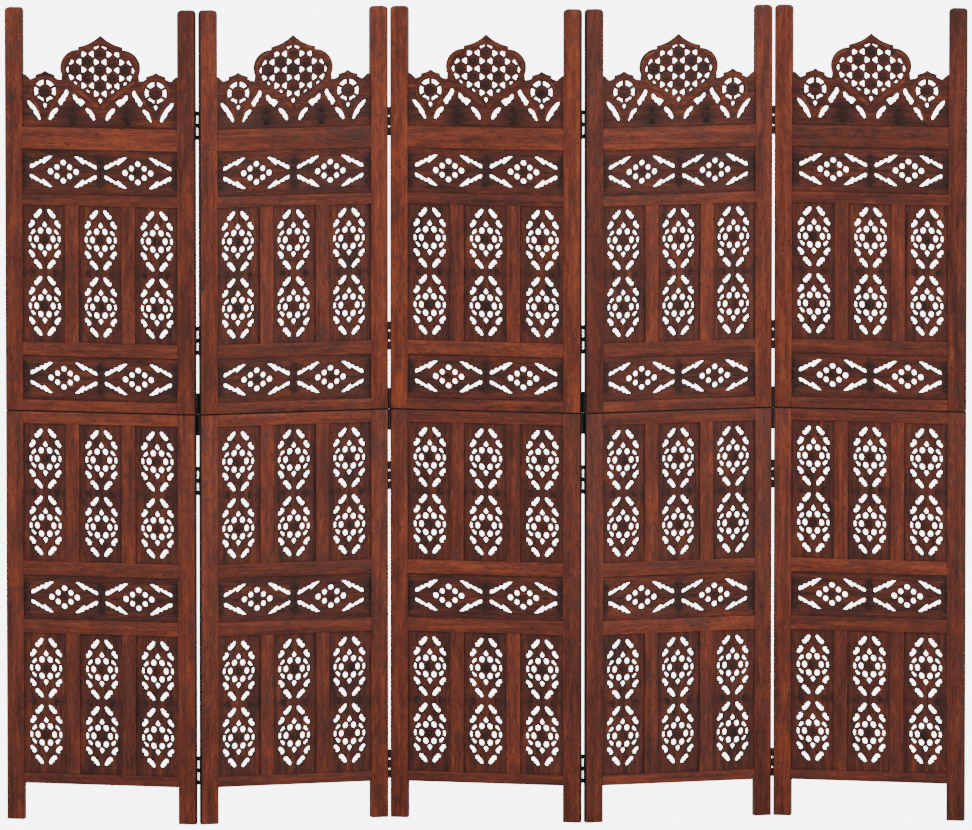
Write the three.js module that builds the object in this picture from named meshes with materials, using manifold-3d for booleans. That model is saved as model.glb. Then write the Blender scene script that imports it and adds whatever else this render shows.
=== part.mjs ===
// Five-panel carved lattice folding screen. Millimetres, +Z up, front towards -Y.
// It stands in a zig-zag with its origin on the floor, under the middle of the middle panel.
import * as THREE from "three";
import * as BufferGeometryUtils from "three/addons/utils/BufferGeometryUtils.js";
import Module from "manifold-3d";

const wasm = await Module();
wasm.setup();

// Driving dimensions of one panel
const panelCount = 5;
const panelWidth = 394;
const panelHeight = 1650;
const frameThickness = 16;
const stileWidth = 36;
const muntinWidth = 28;
const boardThickness = 8;
const fit = 0.3; // clearance between a board and its groove
const grooveDepth = 6;
const postChamfer = 8;
const footChamfer = 2;

// Heights of the rails, bottom edge and top edge, from the floor up
const bottomRail = [75, 96];
const lowRail = [382, 410];
const middleRail = [500, 528];
const seamRail = [808, 856];
const seamHeight = 833;
const highRail = [946, 974];
const upperRail = [1251, 1273];
const topRail = [1365, 1409];

// Stance
const foldAngle = THREE.MathUtils.degToRad(15);
const postGap = 3; // between the posts of two panels when they stand in line

// Hinges, heights of their middles from the floor
const hingeHeights = [1417, 982, 698, 109];
const hingeLength = 58;
const hingePlate = 1;
const hingeReach = 14; // from the pivot line to the plate's far edge
const barrelRadius = 1.7;
const barrelSweep = 112.5; // the barrel runs this far round to both sides, in degrees
const barrelSteps = 5;
const pivotProud = 1.5; // from the frame's face to the pivot line

// Spacing of the carved motifs in a column and along a band
const motifSpacing = 136;
const bandMotifSpacing = 155;

// One side of a pointed oval: its leaves and side openings as one bent opening
const ovalSide = [
  [7, 61],
  [24, 0],
  [7, -61],
  [34, 0],
];

// A long leaf at one corner of a lying diamond
const bandLeaf = [
  [20, 31],
  [40, 13],
  [70, 7],
];

// Outline of the crest, right half
const crestApexHeight = 1595;
const crestHollow = [19, 1577]; // pulls the slope under the point inwards
const crestStep = [45, 1572, 1566]; // half width, top and foot of the square step
const crestLobe = { x: 46, z: 1530, radius: 36, from: 90, to: -24, steps: 6 };
const crestValley = [80, 1504];
const sideApexHeight = 1522;
const sideStep = [19, 1514, 1509]; // half width, top and foot of the side domes' steps
const sideShoulder = 31;
const shoulderFlat = 4; // width of the level stretch against a post
const shoulderHeight = 1514;

// Openings of the crest
const latticePitch = 31;
const latticeHole = 7.8; // from the middle of a three-cornered opening to its corners
const crestCentreHeight = 1526;
const sideMedallion = [115, 1481];
const medallionSide = [
  [4, 24],
  [14, 3],
  [5, -20],
  [25, 0],
];

// The five leaves on one side of the crest, each from its upper end to its lower end
const crestLeaves = [
  { from: [149, 1461], to: [124, 1422], width: 10 },
  { from: [86, 1443], to: [108, 1423], width: 9 },
  { from: [70, 1487], to: [87, 1450], width: 10 },
  { from: [55, 1477], to: [30, 1454], width: 10 },
  { from: [29, 1449], to: [10, 1423], width: 9 },
];

const innerHalf = panelWidth / 2 - stileWidth;
const columnWidth = (2 * innerHalf - 2 * muntinWidth) / 3;
const columnPitch = columnWidth + muntinWidth;
const boardHalf = innerHalf + grooveDepth - fit;

const woodMaterial = (tone) =>
  new THREE.MeshStandardMaterial({ color: tone, roughness: 0.55, metalness: 0 });
const ironMaterial = () =>
  new THREE.MeshStandardMaterial({ color: 0x17140f, roughness: 0.5, metalness: 0.8 });

const frameTone = 0x7a3a26;
const boardTone = 0x6a3022;
const crestTone = 0x733728;

// Solids

function toManifold(geometry) {
  const bare = geometry.clone();
  bare.deleteAttribute("normal");
  bare.deleteAttribute("uv");
  const merged = BufferGeometryUtils.mergeVertices(bare, 1e-4);
  return new wasm.Manifold(
    new wasm.Mesh({
      numProp: 3,
      vertProperties: new Float32Array(merged.attributes.position.array),
      triVerts: new Uint32Array(merged.index.array),
    })
  );
}

function toGeometry(solid) {
  const mesh = solid.getMesh();
  const geometry = new THREE.BufferGeometry();
  geometry.setAttribute("position", new THREE.BufferAttribute(mesh.vertProperties, 3));
  geometry.setIndex(new THREE.BufferAttribute(mesh.triVerts, 1));
  geometry.computeVertexNormals();
  return geometry;
}

// A prism whose outline is drawn in width and height, with its thickness along Y.
function prism(outline, thickness) {
  const shape = new THREE.Shape(outline.map(([x, z]) => new THREE.Vector2(x, z)));
  const geometry = new THREE.ExtrudeGeometry(shape, { depth: thickness, bevelEnabled: false });
  geometry.rotateX(Math.PI / 2);
  geometry.translate(0, thickness / 2, 0);
  return geometry;
}

// A flat slab with openings cut right through it.
function slab(outline, holes, thickness) {
  const cutters = holes.map((hole) => prism(hole, 2 * thickness));
  const cut = toManifold(BufferGeometryUtils.mergeGeometries(cutters));
  return toManifold(prism(outline, thickness)).subtract(cut);
}

function block(low, high) {
  const geometry = new THREE.BoxGeometry(high[0] - low[0], high[1] - low[1], high[2] - low[2]);
  geometry.translate((low[0] + high[0]) / 2, (low[1] + high[1]) / 2, (low[2] + high[2]) / 2);
  return geometry;
}

const rectangle = (x0, z0, x1, z1) => [
  [x0, z0],
  [x1, z0],
  [x1, z1],
  [x0, z1],
];

const mirrored = (points) => points.map(([x, z]) => [-x, z]).reverse();
const moved = (points, dx, dz) => points.map(([x, z]) => [x + dx, z + dz]);
const flippedUp = (points) => points.map(([x, z]) => [x, -z]).reverse();

// Frame halves: stiles, rails and muntins glued into one

function columnWindows(low, high) {
  return [-1, 0, 1].map((n) => {
    const middle = n * columnPitch;
    return rectangle(middle - columnWidth / 2, low, middle + columnWidth / 2, high);
  });
}

const bandWindow = (low, high) => [rectangle(-innerHalf, low, innerHalf, high)];

function grooveFor(low, high) {
  const half = boardThickness / 2 + fit;
  const reach = innerHalf + grooveDepth;
  return block([-reach, -half, low], [reach, half, high]);
}

function cutGrooves(frame, grooves) {
  let solid = frame;
  for (const [low, high] of grooves) {
    solid = solid.subtract(toManifold(grooveFor(low, high)));
  }
  return toGeometry(solid);
}

function lowerFrame() {
  const half = panelWidth / 2;
  const rightFoot = [
    [innerHalf, bottomRail[0]],
    [innerHalf, footChamfer],
    [innerHalf + footChamfer, 0],
    [half - footChamfer, 0],
    [half, footChamfer],
    [half, seamHeight],
  ];
  const outline = [...rightFoot, ...mirrored(rightFoot)];
  const windows = [
    ...columnWindows(bottomRail[1], lowRail[0]),
    ...bandWindow(lowRail[1], middleRail[0]),
    ...columnWindows(middleRail[1], seamRail[0]),
  ];
  return cutGrooves(slab(outline, windows, frameThickness), [
    [bottomRail[1] - grooveDepth, lowRail[0] + grooveDepth],
    [lowRail[1] - grooveDepth, middleRail[0] + grooveDepth],
    [middleRail[1] - grooveDepth, seamRail[0] + grooveDepth],
  ]);
}

function upperFrame() {
  const half = panelWidth / 2;
  const rightPost = [
    [half, seamHeight + fit],
    [half, panelHeight - postChamfer],
    [half - postChamfer, panelHeight],
    [innerHalf + postChamfer, panelHeight],
    [innerHalf, panelHeight - postChamfer],
    [innerHalf, topRail[1]],
  ];
  const outline = [...rightPost, ...mirrored(rightPost)];
  const windows = [
    ...bandWindow(seamRail[1], highRail[0]),
    ...columnWindows(highRail[1], upperRail[0]),
    ...bandWindow(upperRail[1], topRail[0]),
  ];
  return cutGrooves(slab(outline, windows, frameThickness), [
    [seamRail[1] - grooveDepth, highRail[0] + grooveDepth],
    [highRail[1] - grooveDepth, upperRail[0] + grooveDepth],
    [upperRail[1] - grooveDepth, shoulderHeight + fit],
  ]);
}

// Carved boards

function twoSides(points, x, z) {
  return [points, mirrored(points)].map((p) => moved(p, x, z));
}

function fourCorners(points, x, z) {
  return [...twoSides(points, x, z), ...twoSides(flippedUp(points), x, z)];
}

function rowBoard(low, high) {
  const outline = rectangle(-boardHalf, low - grooveDepth + fit, boardHalf, high + grooveDepth - fit);
  const middle = (low + high) / 2;
  const holes = [];
  for (const column of [-1, 0, 1]) {
    for (const side of [-1, 1]) {
      holes.push(...twoSides(ovalSide, column * columnPitch, middle + (side * motifSpacing) / 2));
    }
  }
  return toGeometry(slab(outline, holes, boardThickness));
}

function bandHoles(low, high) {
  const middle = (low + high) / 2;
  return [-1, 1].flatMap((side) => fourCorners(bandLeaf, (side * bandMotifSpacing) / 2, middle));
}

function bandBoard(low, high) {
  const outline = rectangle(-boardHalf, low - grooveDepth + fit, boardHalf, high + grooveDepth - fit);
  return toGeometry(slab(outline, bandHoles(low, high), boardThickness));
}

// Crest

function arcPoints({ x, z, radius, from, to, steps }) {
  return Array.from({ length: steps + 1 }, (_, n) => {
    const angle = THREE.MathUtils.degToRad(from + ((to - from) * n) / steps);
    return [x + radius * Math.cos(angle), z + radius * Math.sin(angle)];
  });
}

// The hollow slope from the point of the crest down to its step
function hollowSlope(steps) {
  const curve = new THREE.QuadraticBezierCurve(
    new THREE.Vector2(0, crestApexHeight),
    new THREE.Vector2(...crestHollow),
    new THREE.Vector2(crestStep[0], crestStep[1])
  );
  return curve.getPoints(steps).map((p) => [p.x, p.y]);
}

function crestProfile() {
  const [sideX] = sideMedallion;
  return [
    ...hollowSlope(3),
    [crestStep[0], crestStep[2]],
    ...arcPoints(crestLobe),
    crestValley,
    [sideX - sideStep[0], sideStep[2]],
    [sideX - sideStep[0], sideStep[1]],
    [sideX, sideApexHeight],
    [sideX + sideStep[0], sideStep[1]],
    [sideX + sideStep[0], sideStep[2]],
    [sideX + sideShoulder, crestValley[1]],
    [innerHalf - shoulderFlat, shoulderHeight],
    [boardHalf, shoulderHeight],
  ];
}

// Openings round the middle rosette, each between three rosettes of a hexagonal lattice
function latticeOpenings(x, z) {
  return Array.from({ length: 6 }, (_, n) => {
    const angle = (n * Math.PI) / 3;
    const reach = latticePitch / Math.sqrt(3);
    const centre = [x + reach * Math.cos(angle), z + reach * Math.sin(angle)];
    return triangle(centre, latticeHole, angle);
  });
}

function triangle([x, z], radius, spin) {
  return [0, 1, 2].map((n) => {
    const angle = spin + (n * 2 * Math.PI) / 3;
    return [x + radius * Math.cos(angle), z + radius * Math.sin(angle)];
  });
}

function leafOpening({ from, to, width }) {
  const a = new THREE.Vector2(...from);
  const b = new THREE.Vector2(...to);
  const along = b.clone().sub(a).normalize();
  const across = new THREE.Vector2(-along.y, along.x).multiplyScalar(width);
  const middle = a.clone().add(b).multiplyScalar(0.5);
  return [a, middle.add(across), b].map((p) => [p.x, p.y]);
}

function crestBoard() {
  const profile = crestProfile();
  const foot = upperRail[1] - grooveDepth + fit;
  const right = [...profile, [boardHalf, foot]];
  const outline = [...right, ...mirrored(right).slice(0, -1)];
  const leaves = crestLeaves.map(leafOpening);
  const holes = [
    ...latticeOpenings(0, crestCentreHeight),
    ...leaves,
    ...leaves.map(mirrored),
    ...bandHoles(upperRail[1], topRail[0]),
  ];
  for (const side of [-1, 1]) {
    holes.push(...twoSides(medallionSide, side * sideMedallion[0], sideMedallion[1]));
  }
  return toGeometry(slab(outline, holes, boardThickness));
}

// Hinge half: a plate let against the edge of a post, with its barrel on the pivot line.
// side is 1 on the right edge of its panel, -1 on the left; face is 1 at the back, -1 in front.
function hingeHalf(side, face, height) {
  const half = panelWidth / 2;
  const plateIn = half + fit;
  const plateOut = plateIn + hingePlate;
  const pivotX = half + postGap / 2;
  const pivotY = frameThickness / 2 + pivotProud;
  const barrel = arcPoints({
    x: pivotX,
    z: pivotY,
    radius: barrelRadius,
    from: -barrelSweep,
    to: barrelSweep,
    steps: barrelSteps,
  });
  const reachY = pivotY - hingeReach;
  const outline = [[plateIn, pivotY], [plateIn, reachY], [plateOut, reachY], ...barrel];
  const turned = outline.map(([x, y]) => new THREE.Vector2(side * x, face * y));
  const geometry = new THREE.ExtrudeGeometry(new THREE.Shape(turned), {
    depth: hingeLength,
    bevelEnabled: false,
  });
  geometry.translate(0, 0, height - hingeLength / 2);
  return geometry;
}

// Assembly

const screen = new THREE.Group();

function addMesh(group, name, geometry, material) {
  const mesh = new THREE.Mesh(geometry, material);
  mesh.name = name;
  group.add(mesh);
}

const yawOf = (n) => (n % 2 === 0 ? -foldAngle : foldAngle);
const foldFace = (n) => (n % 2 === 0 ? 1 : -1); // side of the pivot between panel n and the next

function pivotOffset(n, side, face) {
  const across = (panelWidth + postGap) / 2;
  const deep = frameThickness / 2 + pivotProud;
  const local = new THREE.Vector2(side * across, face * deep);
  return local.rotateAround(new THREE.Vector2(), yawOf(n));
}

function panelPlaces() {
  const middle = Math.floor(panelCount / 2);
  const places = Array(panelCount);
  places[middle] = new THREE.Vector2(0, 0);
  for (let n = middle; n < panelCount - 1; n += 1) {
    const pivot = places[n].clone().add(pivotOffset(n, 1, foldFace(n)));
    places[n + 1] = pivot.sub(pivotOffset(n + 1, -1, foldFace(n)));
  }
  for (let n = middle; n > 0; n -= 1) {
    const pivot = places[n].clone().add(pivotOffset(n, -1, foldFace(n - 1)));
    places[n - 1] = pivot.sub(pivotOffset(n - 1, 1, foldFace(n - 1)));
  }
  return places;
}

function addHinges(group, n, side) {
  const left = side === 1 ? n + 1 : n;
  const face = foldFace(left - 1);
  hingeHeights.forEach((height, k) => {
    addMesh(group, `hinge_${left}_${left + 1}_${k + 1}`, hingeHalf(side, face, height), ironMaterial());
  });
}

// Every fold's fixed hinge halves are on the panel nearer the middle of the screen.
const hingeSides = { 1: [-1], 2: [-1, 1], 3: [1] };

panelPlaces().forEach((place, n) => {
  const panel = new THREE.Group();
  panel.position.set(place.x, place.y, 0);
  panel.rotation.z = yawOf(n);
  const name = `panel_${n + 1}`;
  addMesh(panel, `${name}_lower_frame`, lowerFrame(), woodMaterial(frameTone));
  addMesh(panel, `${name}_upper_frame`, upperFrame(), woodMaterial(frameTone));
  addMesh(panel, `${name}_low_row_board`, rowBoard(bottomRail[1], lowRail[0]), woodMaterial(boardTone));
  addMesh(panel, `${name}_low_band_board`, bandBoard(lowRail[1], middleRail[0]), woodMaterial(boardTone));
  addMesh(panel, `${name}_middle_row_board`, rowBoard(middleRail[1], seamRail[0]), woodMaterial(boardTone));
  addMesh(panel, `${name}_middle_band_board`, bandBoard(seamRail[1], highRail[0]), woodMaterial(boardTone));
  addMesh(panel, `${name}_high_row_board`, rowBoard(highRail[1], upperRail[0]), woodMaterial(boardTone));
  addMesh(panel, `${name}_crest_board`, crestBoard(), woodMaterial(crestTone));
  for (const side of hingeSides[n] ?? []) {
    addHinges(panel, n, side);
  }
  screen.add(panel);
});

export default screen;
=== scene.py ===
import math
import random

import bmesh
import bpy
from mathutils import Matrix, Vector


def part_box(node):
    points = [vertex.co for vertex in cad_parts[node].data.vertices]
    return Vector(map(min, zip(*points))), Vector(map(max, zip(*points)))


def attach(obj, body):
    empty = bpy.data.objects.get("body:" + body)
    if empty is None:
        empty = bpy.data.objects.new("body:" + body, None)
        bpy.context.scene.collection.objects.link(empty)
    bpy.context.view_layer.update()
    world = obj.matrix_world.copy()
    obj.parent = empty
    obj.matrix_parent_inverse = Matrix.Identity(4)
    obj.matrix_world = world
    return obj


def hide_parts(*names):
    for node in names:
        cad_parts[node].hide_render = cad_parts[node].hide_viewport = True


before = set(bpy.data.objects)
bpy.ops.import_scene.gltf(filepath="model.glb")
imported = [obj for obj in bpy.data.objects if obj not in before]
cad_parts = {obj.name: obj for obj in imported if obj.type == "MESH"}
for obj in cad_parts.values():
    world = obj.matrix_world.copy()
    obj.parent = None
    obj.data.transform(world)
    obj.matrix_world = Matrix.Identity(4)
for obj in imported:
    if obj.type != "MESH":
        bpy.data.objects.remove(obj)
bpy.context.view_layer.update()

# A carved folding screen of five hinged panels. Sizes are in millimetres until a mesh is made.
mm = 0.001

screen = {
    "panels": 5,
    "width": 394,        # one panel, outer edge to outer edge
    "height": 1650,
    "thickness": 16,
    "stile": 36,
    "muntin": 28,
    "board": 8,
    "boardReach": 5.7,   # how far a board runs into its groove
    "fold": 15,          # degrees each panel stands out of line
    "postGap": 3,
    "pivotProud": 1.5,
    "seam": 833,         # where the upper frame stands on the lower one
    "seamGap": 0.3,
}

# Lower and upper edge of each rail, from the floor up
rails = {
    "bottom": (75, 96),
    "low": (382, 410),
    "middle": (500, 528),
    "seam": (808, 856),
    "high": (946, 974),
    "upper": (1251, 1273),
    "top": (1365, 1409),
}

halfWidth = screen["width"] / 2
halfDepth = screen["thickness"] / 2
boardFace = screen["board"] / 2
innerHalf = halfWidth - screen["stile"]
columnWidth = (2 * innerHalf - 2 * screen["muntin"]) / 3
columnPitch = columnWidth + screen["muntin"]
chance = random.Random(7)
smoothBelow = 35         # edges that bend by fewer degrees than this are shaded smooth
plainTone = 0.5


# Small helpers for outlines in a panel's own plane, x across and z up

def turned(points, degrees):
    c = math.cos(math.radians(degrees))
    s = math.sin(math.radians(degrees))
    return [(c * x - s * z, s * x + c * z) for x, z in points]


def moved(points, dx, dz):
    return [(x + dx, z + dz) for x, z in points]


def mirrored(points):
    return [(-x, z) for x, z in reversed(points)]


def upended(points):
    return [(x, -z) for x, z in reversed(points)]


def fourWays(points):
    return [points, mirrored(points), upended(points), mirrored(upended(points))]


def ellipse(x, z, across, tall, steps=14):
    turn = 2 * math.pi / steps
    return [(x + across / 2 * math.cos(n * turn), z + tall / 2 * math.sin(n * turn)) for n in range(steps)]


def arc(x, z, radius, start, stop, steps):
    angles = [math.radians(start + (stop - start) * n / steps) for n in range(steps + 1)]
    return [(x + radius * math.cos(a), z + radius * math.sin(a)) for a in angles]


# A run of small bulges from one knot to the next, to the left of the way it goes
def scallops(knots, bulge, steps=3):
    points = []
    for (x0, z0), (x1, z1) in zip(knots, knots[1:]):
        length = math.hypot(x1 - x0, z1 - z0)
        nx, nz = -(z1 - z0) / length, (x1 - x0) / length
        for n in range(steps):
            t = n / steps
            lift = bulge * math.sin(math.pi * t) ** 0.7 if n else 0
            points.append((x0 + (x1 - x0) * t + nx * lift, z0 + (z1 - z0) * t + nz * lift))
    points.append(knots[-1])
    return points


# Keeps the part of a loop that lies inside a border drawn anticlockwise with no hollows
def clipped(points, border):
    for (ax, az), (bx, bz) in zip(border, border[1:] + border[:1]):
        kept = []
        for (px, pz), (qx, qz) in zip(points, points[1:] + points[:1]):
            sideP = (bx - ax) * (pz - az) - (bz - az) * (px - ax)
            sideQ = (bx - ax) * (qz - az) - (bz - az) * (qx - ax)
            if sideP >= 0:
                kept.append((px, pz))
            if sideP * sideQ < 0:
                t = sideP / (sideP - sideQ)
                kept.append((px + (qx - px) * t, pz + (qz - pz) * t))
        points = kept
        if len(points) < 3:
            return []
    return points


# Moves the points of a loop that come closer to the middle than rim out to it
def pushedOut(points, rim):
    pushed = []
    for x, z in points:
        grow = max(1.0, rim / math.hypot(x, z))
        pushed.append((x * grow, z * grow))
    return pushed


# A smooth curve from start to end, drawn towards pull
def bentCurve(start, pull, end, steps):
    points = []
    for n in range(steps + 1):
        t = n / steps
        a, b, c = (1 - t) ** 2, 2 * t * (1 - t), t * t
        points.append((a * start[0] + b * pull[0] + c * end[0], a * start[1] + b * pull[1] + c * end[1]))
    return points


def areaOf(points):
    pairs = zip(points, points[1:] + points[:1])
    return abs(sum(x0 * z1 - x1 * z0 for (x0, z0), (x1, z1) in pairs)) / 2


# Meshes: a dictionary gathers points, faces, the way the grain runs and how light each face is, from its
# stain and from painted shade

def newWork(along="z"):
    return {"points": [], "faces": [], "tones": [], "grain": [], "along": along}


def addPart(work, points, faces, tone, along, shift=(0, 0, 0)):
    start = len(work["points"])
    for x, y, z in points:
        run, across = (z, x) if along == "z" else (x, z)
        work["points"].append((x, y, z))
        work["grain"].append((run + shift[0], across + shift[1], y + shift[2]))
    for n, face in enumerate(faces):
        work["faces"].append([start + v for v in face])
        work["tones"].append(tone[n] if isinstance(tone, list) else tone)


def someShift():
    return tuple(chance.uniform(-3000, 3000) for _ in range(3))


def addCarving(work, points, faces, tone):
    addPart(work, points, faces, tone, work["along"], someShift())


# Faces between rings of points that follow each other
def ringFaces(rings, count):
    faces = []
    for start in range(0, (rings - 1) * count, count):
        for n in range(count):
            a, b = start + n, start + (n + 1) % count
            faces.append([a, b, b + count, a + count])
    return faces


def addObject(name, data):
    added = bpy.data.objects.new(name, data)
    bpy.context.scene.collection.objects.link(added)
    return added


# Pooled stain lies in spots, peak away from the middle and every two peaks from there, moved left by shift
def setSoot(work, height, peak, halfSize, shift=0):
    work["soot"] = []
    for x, y, z in work["points"]:
        place = ((x + shift) / halfSize[0], (z - height) / halfSize[1], peak / halfSize[0])
        work["soot"].append(place)


def addVectors(mesh, name, vectors):
    attribute = mesh.attributes.new(name, "FLOAT_VECTOR", "POINT")
    attribute.data.foreach_set("vector", [v for vector in vectors for v in vector])


def addTones(mesh, tones):
    spread = []
    for polygon in mesh.polygons:
        spread += [tones[polygon.index]] * polygon.loop_total
    attribute = mesh.attributes.new("tone", "FLOAT", "CORNER")
    attribute.data.foreach_set("value", spread)


def smoothFaces(mesh):
    shaped = bmesh.new()
    shaped.from_mesh(mesh)
    bmesh.ops.recalc_face_normals(shaped, faces=shaped.faces)
    sharp = math.radians(smoothBelow)
    for face in shaped.faces:
        face.smooth = True
    for edge in shaped.edges:
        edge.smooth = len(edge.link_faces) == 2 and edge.calc_face_angle(0) < sharp
    shaped.to_mesh(mesh)
    shaped.free()


def finishPiece(work, name, n, kind):
    mesh = bpy.data.meshes.new(name)
    mesh.from_pydata([[v * mm for v in p] for p in work["points"]], [], work["faces"])
    addVectors(mesh, "grain", [[v * mm for v in p] for p in work["grain"]])
    if "soot" in work:
        addVectors(mesh, "soot", work["soot"])
    addTones(mesh, work["tones"])
    smoothFaces(mesh)
    mesh.materials.append(materials[kind])
    piece = addObject(name, mesh)
    piece.matrix_world = panelPlace(n)
    return piece


# Panels stand where the CAD frames stand
def panelPlace(n):
    low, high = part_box(f"panel_{n}_lower_frame")
    yaw = math.radians(-screen["fold"] if n % 2 else screen["fold"])
    middle = (low + high) / 2
    return Matrix.Translation((middle.x, middle.y, 0)) @ Matrix.Rotation(yaw, 4, "Z")


# Shader node groups

def newGroup(name, inputs, outputs):
    tree = bpy.data.node_groups.new(name, "ShaderNodeTree")
    for label, kind, value in inputs:
        socket = tree.interface.new_socket(label, in_out="INPUT", socket_type=kind)
        if value is not None:
            socket.default_value = value
    for label, kind in outputs:
        tree.interface.new_socket(label, in_out="OUTPUT", socket_type=kind)
    return tree, tree.nodes.new("NodeGroupInput"), tree.nodes.new("NodeGroupOutput")


# Each input is set to its value, or linked where the value is another node's output
def feed(tree, node, values):
    for label, value in values.items():
        if isinstance(value, bpy.types.NodeSocket):
            tree.links.new(value, node.inputs[label])
        else:
            node.inputs[label].default_value = value


def newNode(tree, kind, values):
    node = tree.nodes.new("ShaderNode" + kind)
    feed(tree, node, values)
    return node.outputs


def mathNode(tree, operation, a, b=0.5):
    node = tree.nodes.new("ShaderNodeMath")
    node.operation = operation
    feed(tree, node, {0: a, 1: b})
    return node.outputs[0]


def mixColours(tree, amount, a, b):
    node = tree.nodes.new("ShaderNodeMix")
    node.data_type = "RGBA"
    feed(tree, node, {0: amount, 6: a, 7: b})
    return node.outputs[2]


def remap(tree, value, low, high, newLow=0.0, newHigh=1.0):
    limits = {"From Min": low, "From Max": high, "To Min": newLow, "To Max": newHigh}
    return newNode(tree, "MapRange", {"Value": value, **limits})[0]


def stretched(tree, vector, scale):
    return newNode(tree, "Mapping", {"Vector": vector, "Scale": scale})[0]


def attributeAt(tree, name, output):
    node = tree.nodes.new("ShaderNodeAttribute")
    node.attribute_name = name
    return node.outputs[output]


def groupNode(tree, group, values):
    node = tree.nodes.new("ShaderNodeGroup")
    node.node_tree = group
    feed(tree, node, values)
    return node.outputs


def newMaterial(name):
    material = bpy.data.materials.new(name)
    material.use_nodes = True
    tree = material.node_tree
    return material, tree, tree.nodes["Principled BSDF"]


# Waves a metre along, across and through the grain, then detail, roughness and distortion
noises = {
    "broad": ((5, 95, 60), 5, 0.6, 0.5),
    "fine": ((55, 460, 300), 4, 0.65, 0.4),
    "cloud": ((11, 34, 30), 5, 0.62, 0.8),
    "pores": ((70, 1500, 1500), 2, 0.5, 0.0),
    "pitAreas": ((9, 9, 9), 2, 0.55, 0.0),
    "rubbed": ((16, 70, 70), 5, 0.7, 0.4),
    "stained": ((24, 34, 34), 4, 0.65, 1.2),
    "iron": ((180, 180, 180), 5, 0.65, 0.0),
}

# Where the mask made from each pattern starts, and where it is full
maskEdges = {
    "streak": (0.34, 0.66),
    "cloud": (0.32, 0.68),
    "pores": (0.6, 0.7),
    "pits": (0.19, 0.1),
    "pitAreas": (0.5, 0.56),
    "rubbed": (0.56, 0.74),
    "stained": (0.52, 0.72),
    "soot": (1.0, 0.1),
}

# How much each mask does to the colour and the surface
grainMix = {
    "streak": 0.72,
    "cloud": 0.34,
    "centre": 0.54,      # taken off again, to leave the mean as it is
    "pores": 0.55,
    "pits": 0.85,
    "soot": 0.52,
    "poreDepth": 0.8,
    "bumpDepth": 0.0006,
    "specular": 0.22,
}

pitScale = (60, 95, 95)


def noiseAt(tree, vector, key):
    scale, detail, roughness, distortion = noises[key]
    values = {"Scale": 1.0, "Detail": detail, "Roughness": roughness, "Distortion": distortion}
    return newNode(tree, "TexNoise", {"Vector": stretched(tree, vector, scale), **values})["Fac"]


def noiseMask(tree, vector, key):
    return remap(tree, noiseAt(tree, vector, key), *maskEdges[key])


# Long streaks, slow clouds of colour, short open pores and small dark pits
def woodGrainGroup():
    tree, source, result = newGroup(
        "woodGrain",
        [("Grain", "NodeSocketVector", None)],
        [(label, "NodeSocketFloat") for label in ("Streak", "Cloud", "Pores", "Pits")],
    )
    grain = source.outputs["Grain"]
    streak = mathNode(tree, "ADD", noiseAt(tree, grain, "broad"), noiseAt(tree, grain, "fine"))
    streak = mathNode(tree, "MULTIPLY", streak, 0.5)
    cells = newNode(tree, "TexVoronoi", {"Vector": stretched(tree, grain, pitScale), "Scale": 1.0})
    spot = remap(tree, cells["Distance"], *maskEdges["pits"])
    feed(tree, result, {
        "Streak": remap(tree, streak, *maskEdges["streak"]),
        "Cloud": noiseMask(tree, grain, "cloud"),
        "Pores": noiseMask(tree, grain, "pores"),
        "Pits": mathNode(tree, "MULTIPLY", spot, noiseMask(tree, grain, "pitAreas")),
    })
    return tree


# Polish rubbed thin in places, and dust and old stain left in others
def rubbedPolishGroup():
    tree, source, result = newGroup(
        "rubbedPolish",
        [("Grain", "NodeSocketVector", None), ("Amount", "NodeSocketFloat", 0.5)],
        [("Rubbed", "NodeSocketFloat"), ("Stained", "NodeSocketFloat")],
    )
    for label, key in (("Rubbed", "rubbed"), ("Stained", "stained")):
        mask = noiseMask(tree, source.outputs["Grain"], key)
        feed(tree, result, {label: mathNode(tree, "MULTIPLY", mask, source.outputs["Amount"])})
    return tree


# Dark stain pooled in the carving between two motifs. The place is measured in half spot sizes.
def sootGroup():
    tree, source, result = newGroup(
        "pooledStain", [("Place", "NodeSocketVector", None)], [("Soot", "NodeSocketFloat")],
    )
    across, up, peak = newNode(tree, "SeparateXYZ", {0: source.outputs["Place"]})
    across = mathNode(tree, "SUBTRACT", mathNode(tree, "PINGPONG", across, peak), peak)
    squares = [mathNode(tree, "POWER", mathNode(tree, "ABSOLUTE", v), 2.0) for v in (across, up)]
    distance = mathNode(tree, "ADD", *squares)
    feed(tree, result, {"Soot": remap(tree, distance, *maskEdges["soot"], 0.0, grainMix["soot"])})
    return tree


def shade(red, green, blue):
    linear = [((v / 255 + 0.055) / 1.055) ** 2.4 for v in (red, green, blue)]
    return (*linear, 1.0)


frameWood = {
    "dark": shade(46, 19, 14),
    "middle": shade(94, 39, 24),
    "light": shade(136, 62, 34),
    "stain": shade(60, 37, 33),
    "rubbed": shade(150, 82, 50),
    "roughness": (0.46, 0.66),
    "wear": 0.7,
    "bump": 0.3,
}

boardWood = {
    "dark": shade(26, 13, 11),
    "middle": shade(80, 34, 23),
    "light": shade(124, 58, 30),
    "stain": shade(46, 29, 27),
    "rubbed": shade(130, 68, 42),
    "roughness": (0.5, 0.7),
    "wear": 0.45,
    "bump": 0.35,
}


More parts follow.
